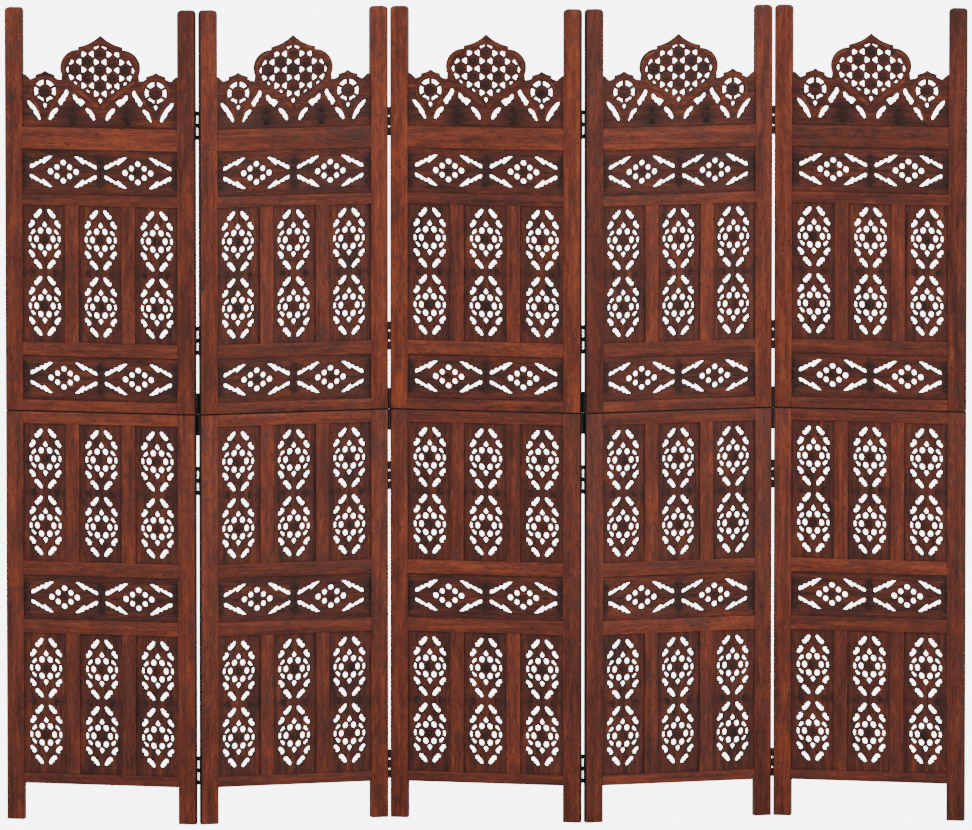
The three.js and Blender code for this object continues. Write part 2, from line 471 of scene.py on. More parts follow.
# Tone sets how light a stick is; the grain moves it up and down around that
def stainColour(tree, look, wood, tone):
    mixed = mathNode(tree, "MULTIPLY", wood["Streak"], grainMix["streak"])
    clouds = mathNode(tree, "MULTIPLY", wood["Cloud"], grainMix["cloud"])
    mixed = mathNode(tree, "ADD", mixed, clouds)
    mixed = mathNode(tree, "ADD", mixed, mathNode(tree, "SUBTRACT", tone, grainMix["centre"]))
    node = tree.nodes.new("ShaderNodeValToRGB")
    ramp = node.color_ramp
    for end, place, key in ((ramp.elements[0], 0.05, "dark"), (ramp.elements[1], 0.95, "light")):
        end.color = look[key]
        end.position = place
    ramp.elements.new(0.5).color = look["middle"]
    feed(tree, node, {"Fac": mixed})
    return node.outputs["Color"]


def woodMaterial(name, look, groups, sooty=False):
    material, tree, surface = newMaterial(name)
    grain = attributeAt(tree, "grain", "Vector")
    tone = attributeAt(tree, "tone", "Fac")
    wood = groupNode(tree, groups["grain"], {"Grain": grain})
    polish = groupNode(tree, groups["polish"], {"Grain": grain, "Amount": look["wear"]})
    colour = stainColour(tree, look, wood, tone)
    colour = mixColours(tree, polish["Stained"], colour, look["stain"])
    rubbed = mathNode(tree, "MULTIPLY", polish["Rubbed"], tone)
    colour = mixColours(tree, rubbed, colour, look["rubbed"])
    pores = mathNode(tree, "MULTIPLY", wood["Pores"], grainMix["pores"])
    pits = mathNode(tree, "MULTIPLY", wood["Pits"], grainMix["pits"])
    colour = mixColours(tree, mathNode(tree, "MAXIMUM", pores, pits), colour, look["dark"])
    if sooty:
        soot = groupNode(tree, groups["soot"], {"Place": attributeAt(tree, "soot", "Vector")})
        colour = mixColours(tree, soot["Soot"], colour, look["dark"])
    poreDepth = mathNode(tree, "MULTIPLY", wood["Pores"], grainMix["poreDepth"])
    height = mathNode(tree, "SUBTRACT", wood["Streak"], poreDepth)
    bump = {"Strength": look["bump"], "Distance": grainMix["bumpDepth"], "Height": height}
    feed(tree, surface, {
        "Base Color": colour,
        "Roughness": remap(tree, wood["Cloud"], 0, 1, *look["roughness"]),
        "Normal": newNode(tree, "Bump", bump)[0],
        "Specular IOR Level": grainMix["specular"],
    })
    return material


ironLook = {
    "dark": shade(12, 10, 10),
    "worn": shade(64, 52, 46),
    "wornEdges": (0.55, 0.72),
    "roughEdges": (0.3, 0.7),
    "roughness": (0.35, 0.6),
    "metallic": (0.3, 0.8),
    "bump": 0.3,
    "bumpDepth": 0.0003,
}


def ironMaterial(look):
    material, tree, surface = newMaterial("blackIron")
    patches = noiseAt(tree, attributeAt(tree, "grain", "Vector"), "iron")
    worn = remap(tree, patches, *look["wornEdges"])
    bump = {"Strength": look["bump"], "Distance": look["bumpDepth"], "Height": patches}
    feed(tree, surface, {
        "Base Color": mixColours(tree, worn, look["dark"], look["worn"]),
        "Roughness": remap(tree, patches, *look["roughEdges"], *look["roughness"]),
        "Metallic": remap(tree, worn, 0, 1, *look["metallic"]),
        "Normal": newNode(tree, "Bump", bump)[0],
    })
    return material


groups = {"grain": woodGrainGroup(), "polish": rubbedPolishGroup(), "soot": sootGroup()}
materials = {
    "frame": woodMaterial("frameWood", frameWood, groups),
    "board": woodMaterial("boardWood", boardWood, groups, True),
    "iron": ironMaterial(ironLook),
}
print("materials ready")


# Frames: rounded sticks

stickShape = {
    "outerRound": 1.2,   # the posts' outer edges are rubbed round
    "innerRound": 0.5,
    "endBevel": 0.5,
    "footRound": 1.5,
    "seamRound": 1.7,
    "topRound": 8,       # the shaped corners on top of the posts
    "topSteps": 6,
    "topInset": 0.8,     # how far in the shaping runs, in topRounds
    "tipInset": 0.9,
    # painted shade on post sides facing the next panel, at the seam and inside joints
    "paintedShadeTone": -0.3,
    "toneSpread": 0.13,
}

# Steps round each corner of a section, and the faces of its low and high sides with their corners
cornerSteps = 3
lowFaces = range(cornerSteps + 1, 3 * cornerSteps + 2)
highFaces = [*range(3 * cornerSteps + 3, 4 * cornerSteps + 4), *range(cornerSteps)]


# Section of a stick as a ring of points, with its own rounding on the low and high sides
def stickSection(low, high, roundLow, roundHigh):
    corners = [(high, halfDepth, roundHigh, 0), (low, halfDepth, roundLow, 90),
               (low, -halfDepth, roundLow, 180), (high, -halfDepth, roundHigh, 270)]
    ring = []
    for across, deep, radius, angle in corners:
        x = across - radius if across == high else across + radius
        y = deep - radius if deep > 0 else deep + radius
        ring += arc(x, y, radius, angle, angle + 90, cornerSteps)
    return ring


# Levels along a stick: where each is, and how much narrower and thinner the stick is there
def squareEnds(start, end):
    bevel = stickShape["endBevel"]
    return [(start, bevel, bevel), (start + bevel, 0, 0), (end - bevel, 0, 0), (end, bevel, bevel)]


# From the very end to the full section; way is 1 at the start of a stick and -1 at its end
def wornEnd(place, radius, way):
    return [
        (place, radius, radius),
        (place + way * radius * 0.4, radius * 0.25, radius * 0.25),
        (place + way * radius, 0, 0),
    ]


def wornEnds(start, end, startRound, endRound):
    return wornEnd(start, startRound, 1) + wornEnd(end, endRound, -1)[::-1]


# An upper post: worn at the seam, and shaped in at the top
def postTop(start, end):
    bevel = stickShape["endBevel"]
    radius = stickShape["topRound"]
    steps = stickShape["topSteps"]
    inset = stickShape["topInset"]
    levels = wornEnd(start, stickShape["seamRound"], 1)
    for n in range(steps):
        angle = math.radians(90 * n / steps)
        run = end - radius + radius * math.sin(angle) - bevel
        levels.append((run, radius * (1 - math.cos(angle)) * inset, 0))
    levels.append((end - bevel * 0.4, radius * inset, 0))
    levels.append((end, radius * stickShape["tipInset"], bevel * 2))
    return levels


# Painted shade: the sides that meet another frame, and the faces inside the joints at both ends, take a
# dark tone
def stickTones(levelCount, ringCount, shadedParts):
    plain = plainTone + chance.uniform(-1, 1) * stickShape["toneSpread"]
    tones = []
    for level in range(levelCount - 1):
        for n in range(ringCount):
            onSide = ("low" in shadedParts and n in lowFaces) or ("high" in shadedParts and n in highFaces)
            atEnd = ("start" in shadedParts and level < 2) or ("end" in shadedParts and level >= levelCount - 3)
            tones.append(stickShape["paintedShadeTone"] if onSide or atEnd else plain)
    return tones + [stickShape["paintedShadeTone"]] * 2


# A stick from start to end, between low and high across; the sides and ends listed last are painted in
# shade
def addStick(work, along, start, end, low, high, rounds, ends=None, shadedParts=()):
    levels = ends or squareEnds(start, end)
    ring = stickSection(low, high, *rounds)
    middle = (low + high) / 2
    points = []
    for run, narrower, thinner in levels:
        for across, deep in ring:
            shrunk = middle + (across - middle) * (1 - 2 * narrower / (high - low))
            y = deep * (1 - thinner / halfDepth)
            points.append((shrunk, y, run) if along == "z" else (run, y, shrunk))
    count = len(ring)
    faces = ringFaces(len(levels), count)
    faces.append(list(range(count)))
    faces.append(list(range((len(levels) - 1) * count, len(levels) * count)))
    addPart(work, points, faces, stickTones(len(levels), count, shadedParts), along, someShift())


# A pair of posts; the last argument names the end that meets the other frame, and that end and the posts'
# outer sides are painted in shade
def addPosts(work, start, end, ends, shadedEnd):
    outer = stickShape["outerRound"]
    inner = stickShape["innerRound"]
    addStick(work, "z", start, end, -halfWidth, -innerHalf, (outer, inner), ends, ("low", shadedEnd))
    addStick(work, "z", start, end, innerHalf, halfWidth, (inner, outer), ends, ("high", shadedEnd))


def addRail(work, edges, rounds=None, shadedParts=()):
    inner = stickShape["innerRound"]
    addStick(work, "x", -innerHalf, innerHalf, *edges, rounds or (inner, inner), None, shadedParts)


def addMuntins(work, low, high):
    inner = stickShape["innerRound"]
    half = screen["muntin"] / 2
    for side in (-1, 1):
        middle = side * columnPitch / 2
        addStick(work, "z", low, high, middle - half, middle + half, (inner, inner))


def makeLowerFrame(n):
    work = newWork()
    seam = screen["seam"]
    inner, seamRound = stickShape["innerRound"], stickShape["seamRound"]
    addPosts(work, 0, seam, wornEnds(0, seam, stickShape["footRound"], seamRound), "end")
    for name in ("bottom", "low", "middle"):
        addRail(work, rails[name])
    # The seam rail's rounded top edge is painted in shade, for the dark line where the frames meet
    addRail(work, (rails["seam"][0], seam), (inner, seamRound), ("high",))
    addMuntins(work, rails["bottom"][1], rails["low"][0])
    addMuntins(work, rails["middle"][1], rails["seam"][0])
    return finishPiece(work, f"lowerFrame{n}", n, "frame")


def makeUpperFrame(n):
    work = newWork()
    start = screen["seam"] + screen["seamGap"]
    addPosts(work, start, screen["height"], postTop(start, screen["height"]), "start")
    # The seam rail's rounded lower edge is painted in shade, for the dark line where the frames meet
    addRail(work, (start, rails["seam"][1]), (stickShape["seamRound"], stickShape["innerRound"]), ("low",))
    for name in ("high", "upper", "top"):
        addRail(work, rails[name])
    addMuntins(work, rails["high"][1], rails["upper"][0])
    return finishPiece(work, f"upperFrame{n}", n, "frame")


for n in range(1, screen["panels"] + 1):
    for part, make in (("lower_frame", makeLowerFrame), ("upper_frame", makeUpperFrame)):
        piece = make(n)
        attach(piece, f"panel_{n}")
        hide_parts(f"panel_{n}_{part}")
print("frames ready")


# Carved boards

carving = {
    "bevel": 0.8,        # worn edge of every opening
    "swell": 0.5,        # every opening is this much tighter than it is drawn
    "weld": 0.01,
    "groundTone": 0.42,
    "cutTone": -0.3,     # sawn edges are stained dark
    "sunk": 0.1,         # raised parts start this far inside the board
    "relief": 1.3,
    "leafTone": 0.2,
    "leafHeight": 0.8,   # of the relief
    "bandTone": 0.62,
    "bandHeight": 0.9,
    "bandTop": 0.32,     # half its flat top, of its width
}


# Points and faces of a filled curve, and which faces are its flat sides
def curveMesh(curve):
    cutter = addObject("cut", curve)
    bpy.context.view_layer.update()
    mesh = bpy.data.meshes.new_from_object(cutter.evaluated_get(bpy.context.evaluated_depsgraph_get()))
    shaped = bmesh.new()
    shaped.from_mesh(mesh)
    bmesh.ops.remove_doubles(shaped, verts=shaped.verts, dist=carving["weld"])
    shaped.normal_update()
    shaped.verts.index_update()
    points = [(v.co.x, -v.co.z, v.co.y) for v in shaped.verts]
    faces = [[v.index for v in face.verts] for face in shaped.faces]
    flat = [abs(face.normal.z) > 0.99 for face in shaped.faces]
    shaped.free()
    bpy.data.objects.remove(cutter)
    bpy.data.curves.remove(curve)
    bpy.data.meshes.remove(mesh)
    return points, faces, flat


# A flat board with its openings, cut by Blender's own curve filling
def addBoard(work, outline, holes):
    bevel = carving["bevel"]
    curve = bpy.data.curves.new("cut", "CURVE")
    curve.dimensions = "2D"
    curve.fill_mode = "BOTH"
    curve.extrude = boardFace - bevel
    curve.bevel_depth = bevel
    curve.bevel_resolution = 0
    curve.offset = carving["swell"] - bevel
    for loop in [outline] + holes:
        spline = curve.splines.new("POLY")
        spline.points.add(len(loop) - 1)
        spline.points.foreach_set("co", [v for x, z in loop for v in (x, z, 0, 1)])
        spline.use_cyclic_u = True
    points, faces, flat = curveMesh(curve)
    tones = [carving["groundTone"] if level else carving["cutTone"] for level in flat]
    addCarving(work, points, faces, tones)


# Depth of a point that stands this far out of the board's front
def inFront(height):
    return -(boardFace + height)


rosette = {
    "petals": 8,
    "rings": (1.0, 0.93, 0.72, 0.45, 0.3, 0.2),
    "lifts": (-0.1, 0.55, 1.0, 0.55, 0.5, 1.1),
    "notch": 0.08,       # how far the rim draws in between two petals
    "groove": 0.65,      # how far the surface drops between two petals
    "button": 1.2,
    "tone": 0.2,
    "ringTones": (0, 0.14, 0, -0.12, 0.14),
    "buttonTone": 0.34,
}


# A round flower with ridged petals and a button, a little proud of the board
def addRosette(work, x, z, radius):
    petals, rings = rosette["petals"], rosette["rings"]
    notch, groove = rosette["notch"], rosette["groove"]
    steps = petals * 4
    points = []
    for ring, lift in zip(rings, rosette["lifts"]):
        for n in range(steps):
            angle = 2 * math.pi * n / steps
            petal = abs(math.cos(petals * angle / 2))
            wave = 1 - groove + groove * petal if 0.3 < ring < 0.99 else 1
            reach = radius * ring * (1 - notch + notch * petal if ring > 0.9 else 1)
            y = inFront(carving["relief"] * lift * wave)
            points.append((x + reach * math.cos(angle), y, z + reach * math.sin(angle)))
    points.append((x, inFront(carving["relief"] * rosette["button"]), z))
    faces = ringFaces(len(rings), steps)
    tones = [rosette["tone"] + tone for tone in rosette["ringTones"] for n in range(steps)]
    last = (len(rings) - 1) * steps
    for n in range(steps):
        faces.append([last + n, last + (n + 1) % steps, len(points) - 1])
        tones.append(rosette["buttonTone"])
    addCarving(work, points, faces, tones)


# Half a petal: how far along it is, and how far out, of its length and width
petalHalf = [(0.0, 0.18), (0.25, 0.42), (0.55, 0.5), (0.82, 0.3), (1.0, 0.0)]
petalRidge = (0.12, 0.6)


# One low petal, pointed at its far end
def addPetal(work, x, z, degrees, length, width, tone=carving["leafTone"]):
    rim = [(t * length, w * width) for t, w in petalHalf]
    rim += [(t * length, -w * width) for t, w in reversed(petalHalf[:-1])]
    ridge = [(t * length, 0) for t in petalRidge]
    points = []
    for loop, height in ((rim, -carving["sunk"]), (ridge, carving["relief"] * carving["leafHeight"])):
        points += [(x + u, inFront(height), z + v) for u, v in turned(loop, degrees)]
    near = len(rim)
    far = near + 1
    faces = [[0, 1, near], [1, 2, far, near], [2, 3, far], [3, 4, far], [4, 5, far], [5, 6, far],
             [6, 7, near, far], [7, 8, near], [8, 0, near]]
    addCarving(work, points, faces, tone)


palmette = {
    "petals": 5,
    "taper": 0.35,       # the outermost petals are this much shorter
    "width": 0.32,
    "spread": 130,
}


# A fan of petals, such as stands between two openings
def addPalmette(work, x, z, degrees, size, spread=palmette["spread"]):
    petals = palmette["petals"]
    for n in range(petals):
        lean = (n / (petals - 1) - 0.5) * spread
        length = size * (1 - palmette["taper"] * abs(lean) / spread * 2)
        addPetal(work, x, z, degrees + lean, length, size * palmette["width"])


# A raised band along a path
def addBand(work, path, width):
    top = carving["bandTop"]
    section = ((-0.5, -carving["sunk"]), (-top, 1), (top, 1), (0.5, -carving["sunk"]))
    last = len(path) - 1
    points = []
    for n, (x, z) in enumerate(path):
        before, after = path[max(n - 1, 0)], path[min(n + 1, last)]
        length = math.hypot(after[0] - before[0], after[1] - before[1])
        nx, nz = -(after[1] - before[1]) / length, (after[0] - before[0]) / length
        for side, lift in section:
            out = side * width
            points.append((x + nx * out, inFront(carving["bandHeight"] * lift), z + nz * out))
    faces = []
    for n in range(last):
        for k in range(4 * n, 4 * n + 3):
            faces.append([k, k + 4, k + 5, k + 1])
    addCarving(work, points, faces, carving["bandTone"])


def boardOutline(low, high):
    reach = screen["boardReach"]
    x, foot, head = innerHalf + reach, low - reach, high + reach
    return [(-x, foot), (x, foot), (x, head), (-x, head)]


# Column boards: two pointed ovals over each other in each of three columns

oval = {
    "spacing": 136,
    # The ovals stand this much above the middle of their window
    "lift": {"lowColumn": 3, "middleColumn": 0, "highColumn": 1.5},
    "disc": 10.2,
    "discGap": 0.9,
    "innerRing": (17.2, 11.6, 12.8),  # how far out, how deep and how wide its six openings are
    "stretch": 1.12,  # the ring is a little taller than it is wide
    # Lower half of the opening at either side
    "sideHole": [(27.1, 0), (26.2, -3.4), (29.8, -7.1), (33.08, -5.68), (34.2, 0)],
    "cornerHole": [(18.4, 14.2), (25.2, 8.6), (28.8, 8.8), (30.2, 11), (25.4, 18.4), (20, 20)],
    "drop": [(0, 22.8), (4.2, 25.2), (5.8, 28.6), (2.8, 33.2), (0, 37.4)],
    "leafTop": [(4.6, 56.6), (7, 51.4), (10.8, 46.2), (14.6, 42.6), (18.4, 41.6), (21.6, 43),
                (23.6, 47), (21.4, 51.2), (18, 51.4), (17.6, 55.6), (14.4, 56.6), (12.4, 60),
                (8.4, 61), (5.4, 59.8)],
    "leafSide": [(19.4, 34), (20.2, 30), (24.8, 24.8), (29.4, 22), (32.8, 22.8), (34.2, 26.6),
                 (32.4, 31.2), (29, 32), (29.8, 36), (26.6, 38.4), (22.4, 37.8)],
    "tipPetal": (7.5, 40, 35),  # how far out and up from the middle, and how far it leans
    "tipPetalSize": (9, 4.4),
    "palmette": (19, 17),  # how far from the column's middle, and its size
    "sootSize": (30, 17),
}


def ovalHoles():
    holes = []
    reach, across, wide = oval["innerRing"]
    for n in range(6):
        loop = pushedOut(ellipse(reach, 0, across, wide, 16), oval["disc"] + oval["discGap"])
        holes.append([(x, z * oval["stretch"]) for x, z in turned(loop, 60 * n)])
    lower = oval["sideHole"]
    side = lower[1:] + upended(lower)[1:]
    holes += [side, mirrored(side)]
    drop = oval["drop"] + mirrored(oval["drop"][1:-1])
    holes += [drop, upended(drop)]
    for key in ("cornerHole", "leafTop", "leafSide"):
        holes += fourWays(oval[key])
    return holes


def addOvalRelief(work, x, z):
    addRosette(work, x, z, oval["disc"])
    out, up, slant = oval["tipPetal"]
    for lean in (-1, 1):
        addPetal(work, x + lean * out, z + up, 90 - lean * slant, *oval["tipPetalSize"])
        addPetal(work, x + lean * out, z - up, -90 + lean * slant, *oval["tipPetalSize"])


def makeColumnBoard(n, key, low, high):
    work = newWork()
    middle = (low + high) / 2 + oval["lift"][key]
    heights = [middle + side * oval["spacing"] / 2 for side in (-1, 1)]
    columns = [column * columnPitch for column in (-1, 0, 1)]
    motif = ovalHoles()
    holes = [moved(hole, x, z) for x in columns for z in heights for hole in motif]
    addBoard(work, boardOutline(low, high), holes)
    out, size = oval["palmette"]
    for x in columns:
        for z in heights:
            addOvalRelief(work, x, z)
        addPalmette(work, x - out, middle, 180, size)
        addPalmette(work, x + out, middle, 0, size)
    setSoot(work, middle, columnPitch / 2, oval["sootSize"])
    return finishPiece(work, f"{key}Board{n}", n, "board")


# Band boards: two lying diamonds side by side

diamond = {
    "spacing": 155,
    "disc": 8.9,
    "topHole": (0, 18.4, 13.2, 11.8),
    "cornerHole": (13.2, 9.2, 12.2, 12.2),
    "sideHole": (26.6, 0, 13, 13),
    "rim": 9.4,  # the openings come this close to the middle
    # A long leaf: knots of its outer edge, then its blunt end and its barbed inner edge
    "leafOuter": [(70.4, 10.6), (61.4, 15.4), (52, 19.6), (43, 24), (34.6, 29)],
    "leafBulge": 2.2,
    "leafInner": [(31, 31.8), (21.6, 31.8), (23.4, 29.2), (30.2, 23.6), (36.6, 17.8), (42, 14.2),
                  (44.8, 18), (53, 12.8), (60, 8.6), (66.2, 5.6), (70.2, 6.4)],
    "petal": (37, 22, 6),  # how far out, how long and how wide
    "petalTone": 0.3,
    "palmette": (16, 20, 90),  # how far from the board's middle line, its size and its spread
    "palmettePetal": (12, 7),
    "palmetteInset": 4,  # the outer fans stand this far in from the posts
    "sootSize": (20, 44),
}


def diamondHoles():
    keys = ("topHole", "cornerHole", "sideHole")
    top, corner, side = [pushedOut(ellipse(*diamond[key]), diamond["rim"]) for key in keys]
    leaf = scallops(diamond["leafOuter"], -diamond["leafBulge"], 4) + diamond["leafInner"]
    return [top, upended(top), side, mirrored(side)] + fourWays(corner) + fourWays(leaf)


def addBandRelief(work, middle):
    out, length, width = diamond["petal"]
    for side in (-1, 1):
        x = side * diamond["spacing"] / 2
        addRosette(work, x, middle, diamond["disc"])
        addPetal(work, x - out, middle, 180, length, width, diamond["petalTone"])
        addPetal(work, x + out, middle, 0, length, width, diamond["petalTone"])
    rise, size, spread = diamond["palmette"]
    edge = innerHalf - diamond["palmetteInset"]
    for x in (-edge, 0, edge):
        for way in (-1, 1):
            addPalmette(work, x, middle + way * rise, 90 * way, size, spread)
            addPetal(work, x, middle, 90 * way, *diamond["palmettePetal"])


def makeBandBoard(n, key, low, high):
    work = newWork("x")
    middle = (low + high) / 2
    peak = diamond["spacing"] / 2
    motif = diamondHoles()
    holes = [moved(hole, side * peak, middle) for side in (-1, 1) for hole in motif]
    addBoard(work, boardOutline(low, high), holes)
    addBandRelief(work, middle)
    setSoot(work, middle, peak, diamond["sootSize"], peak)
    return finishPiece(work, f"{key}Band{n}", n, "board")


# Crest: a pointed dome of lattice between two small domes with medallions

crest = {
    "apex": 1595,
    "hollow": (19, 1577),  # the edge below the apex bends towards this
    "step": (45, 1572, 1566),  # how far out, and from which height to which
    "lobe": (46, 1530, 36, 90, -24),  # middle, radius, and from which angle to which
    "valley": (80, 1504),
    "valleyLip": (6, 1.5),
    "sideApex": 1522,
    "sideTip": (7, 3.5),
    "sideStep": (19, 1514, 1509),
    "sideShoulder": 31,
    "shoulder": (4, 1514),
    "foot": 12,  # how far it runs down behind the top rail
    "disc": 11,
    "latticeMiddle": 1526,
    "latticePitch": 32,
    "latticeAcross": 26.2,
    "opening": (6.3, 1.2),  # its radius, and how far its three corners reach past that
    "smallest": 11,  # square millimetres; smaller scraps are left out
    "slantSize": (9.5, 5.6),
    "slantTurn": 34,
    "slantPlaces": ((25.5, -43.5), (51.5, -27)),
    "drop": (-69.5, (3.4, -64.5), -61.8, 15),
    "medallion": (115, 1481),
    "medallionDisc": 12.4,
    "medallionRing": (23.4, 21.2, 14),  # outer radius, that of the lowest two, and inner radius
    "medallionFlat": 0.93,
    "spoke": 2.2,
    "sideDrop": (-35.5, (3.2, -31), -28.2, 10),
    "dropRadius": 4.6,
    "palmetteOut": 57,
    "palmettes": ((24, 1423, 120), (17, 1440, 120), (14, 1416, 150)),  # size, height and spread
    "soot": (1436, 57, (31, 34)),  # height, distance from the middle, and half size
}

# Raised bands on the crest's right half, each with its width
crestBands = [
    (arc(46, 1530, 31, 80, -25, 10), 6),
    ([(72, 1504), (40, 1479), (20, 1464), (4, 1450)], 7.5),
    ([(4, 1585), (22, 1574.5), (40, 1568)], 6),
]

# Bands round a medallion and down from it, from the medallion's middle
medallionBand = (arc(0, 0, 28.5, -28, 208, 14), 4)
legBand = ([(26, -14), (13, -35), (5, -58)], 5)

# Inner border of the lattice, right half from the top down, from the lattice's middle
latticeBorder = [(0, 50), (20, 44), (44, 33.5), (60, 21), (72, 0), (62, -23.5), (17, -54), (0, -58)]

# The openings below the lattice, right half: smooth on one side, scalloped on the other
innerLeaf = [(10, 1427.7), (10.7, 1424.4), (15.4, 1423), (18.7, 1428), (22.4, 1430.6), (23.2, 1436),
             (27.2, 1438), (31.4, 1444.5), (30.8, 1449.2), (24.8, 1448.6), (18.1, 1443.6), (12.4, 1435.6)]
longLeaf = [(x * 1.55, z) for x, z in turned(moved(innerLeaf, -20.5, -1436), -54)]
crestLeaves = [
    innerLeaf,
    moved(mirrored(innerLeaf), 118.5, -1),
    moved(turned(longLeaf, 56), 137.5, 1442),
    [(30.6, 1461.2), (37.8, 1452.4), (42.6, 1452), (46.4, 1457.6), (50.6, 1458.2), (52.6, 1463.6),
     (57, 1466.2), (58, 1474.4), (53.8, 1477.2), (49.4, 1473.4), (44.9, 1467.8), (37.5, 1466.3)],
    [(65, 1480.1), (67.4, 1472.7), (71.4, 1469), (72.2, 1463.4), (76.4, 1461), (78.6, 1454.6),
     (84, 1452.4), (89, 1460.6), (83, 1469), (76.4, 1477.6), (72.5, 1485.8), (68, 1485.4)],
]


def crestOutline():
    stepX, stepTop, stepFoot = crest["step"]
    valleyX, valleyZ = crest["valley"]
    lipX, lipZ = crest["valleyLip"]
    sideX = crest["medallion"][0]
    half, sideTop, sideFoot = crest["sideStep"]
    tipX, tipZ = crest["sideTip"]
    flat, shoulder = crest["shoulder"]
    edge = innerHalf + screen["boardReach"]
    right = bentCurve((0, crest["apex"]), crest["hollow"], (stepX, stepTop), 8)
    right.append((stepX, stepFoot))
    right += arc(*crest["lobe"], 12)
    right += [(valleyX, valleyZ), (sideX - half - lipX, valleyZ + lipZ)]
    right += [(sideX - half, sideFoot), (sideX - half, sideTop), (sideX - tipX, sideTop + tipZ)]
    right.append((sideX, crest["sideApex"]))
    right += [(sideX + tipX, sideTop + tipZ), (sideX + half, sideTop), (sideX + half, sideFoot)]
    right.append((sideX + crest["sideShoulder"], valleyZ))
    right += [(innerHalf - flat, shoulder), (edge, shoulder), (edge, rails["top"][1] - crest["foot"])]
    return right + mirrored(right)[:-1]


# A drop below a round head, which runs on below its own middle by dip degrees
def dropHole(foot, neck, middle, dip):
    return [(0, foot), neck] + arc(0, middle, crest["dropRadius"], -dip, 180 + dip, 6) + mirrored([neck])


# A rounded triangle beside a disc of the lattice, cut off at the lattice's border
def latticeOpening(x, z, lean, squeeze, border):
    steps = 15
    radius, corner = crest["opening"]
    loop = []
    for n in range(steps):
        angle = 2 * math.pi * n / steps
        reach = radius + corner * math.cos(3 * (angle - lean))
        loop.append(((x + reach * math.cos(angle)) * squeeze, z + reach * math.sin(angle)))
    return clipped(loop, border)


def latticeHoles():
    pitch = crest["latticePitch"]
    columnStep = pitch * math.sqrt(3) / 2
    squeeze = crest["latticeAcross"] / columnStep
    cell = pitch / math.sqrt(3)
    border = list(reversed(mirrored(latticeBorder)[:-1] + latticeBorder[:-1]))
    holes = []
    for column in range(-6, 7):
        for row in range(-6, 7):
            # Discs sit on a lattice of triangles; two openings belong to each
            discX = column * columnStep
            discZ = row * pitch + (column % 2) * pitch / 2
            for lean in (0, math.radians(60)):
                x = discX + cell * math.cos(lean)
                z = discZ + cell * math.sin(lean)
                loop = latticeOpening(x, z, lean, squeeze, border)
                if loop and areaOf(loop) > crest["smallest"]:
                    holes.append(loop)
    # Small slanted openings fill the border where discs would be cut
    slant = turned(ellipse(0, 0, *crest["slantSize"], 10), crest["slantTurn"])
    for place in crest["slantPlaces"]:
        small = moved(slant, *place)
        holes += [small, mirrored(small)]
    holes.append(dropHole(*crest["drop"]))
    return [moved(hole, 0, crest["latticeMiddle"]) for hole in holes]


# Six openings round a rosette and a drop below. The two lowest make room for the drop.
def medallionHoles(side):
    highOuter, lowOuter, inner = crest["medallionRing"]
    spoke = crest["spoke"]
    holes = []
    for n in range(6):
        middle = 60 * n
        isLow = n > 3
        outer = lowOuter if isLow else highOuter
        outerTurn = 30 - math.degrees(spoke / outer)
        innerTurn = 30 - math.degrees(spoke / inner)
        loop = arc(0, 0, outer, middle - outerTurn, middle + outerTurn, 5)
        loop += arc(0, 0, inner, middle + innerTurn, middle - innerTurn, 3)
        if isLow:
            loop[2:4] = [(x * crest["medallionFlat"], z * crest["medallionFlat"]) for x, z in loop[2:4]]
        holes.append(loop)
    holes.append(dropHole(*crest["sideDrop"]))
    x, z = crest["medallion"]
    return [moved(hole, side * x, z) for hole in holes]


def crestHoles():
    holes = latticeHoles() + medallionHoles(-1) + medallionHoles(1)
    for leaf in crestLeaves:
        holes += [leaf, mirrored(leaf)]
    return holes


def latticeDiscs():
    pitch = crest["latticePitch"]
    across = crest["latticeAcross"]
    places = [(0, 0), (0, pitch), (0, -pitch)]
    for side in (-1, 1):
        places += [(side * across, pitch / 2), (side * across, -pitch / 2), (side * 2 * across, 0)]
    return moved(places, 0, crest["latticeMiddle"])


def addMedallionBands(work, x, z):
    path, width = medallionBand
    addBand(work, moved(path, x, z), width)
    path, width = legBand
    for lean in (-1, 1):
        addBand(work, [(x + lean * px, z + pz) for px, pz in path], width)


def addCrestRelief(work):
    for x, z in latticeDiscs():
        addRosette(work, x, z, crest["disc"])
    medallionX, medallionZ = crest["medallion"]
    for side in (-1, 1):
        addRosette(work, side * medallionX, medallionZ, crest["medallionDisc"])
        for path, width in crestBands:
            addBand(work, [(side * px, pz) for px, pz in path], width)
        addMedallionBands(work, side * medallionX, medallionZ)
        for size, lift, spread in crest["palmettes"]:
            addPalmette(work, side * crest["palmetteOut"], lift, 90, size, spread)


def makeCrest(n):
    work = newWork("x")
    addBoard(work, crestOutline(), crestHoles())
    addCrestRelief(work)
    setSoot(work, *crest["soot"])
    return finishPiece(work, f"crest{n}", n, "board")


# Which board stands in which window, and the CAD node it stands for
columnBoards = [("low", "low_row_board", "bottom", "low"), ("middle", "middle_row_board", "middle", "seam"),
                ("high", "high_row_board", "high", "upper")]
bandBoards = [("low", "low_band_board", "low", "middle"), ("middle", "middle_band_board", "seam", "high"),
              ("high", "crest_board", "upper", "top")]


def placeBoard(piece, n, node):
    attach(piece, f"panel_{n}")
    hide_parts(f"panel_{n}_{node}")


for n in range(1, screen["panels"] + 1):
    for key, node, under, over in columnBoards:
        placeBoard(makeColumnBoard(n, key + "Column", rails[under][1], rails[over][0]), n, node)
    for key, node, under, over in bandBoards:
        placeBoard(makeBandBoard(n, key, rails[under][1], rails[over][0]), n, node)
    placeBoard(makeCrest(n), n, "crest_board")
    print("boards of panel", n, "ready")


# Hinges: a plate on each post's edge, with knuckles in turn on one pin

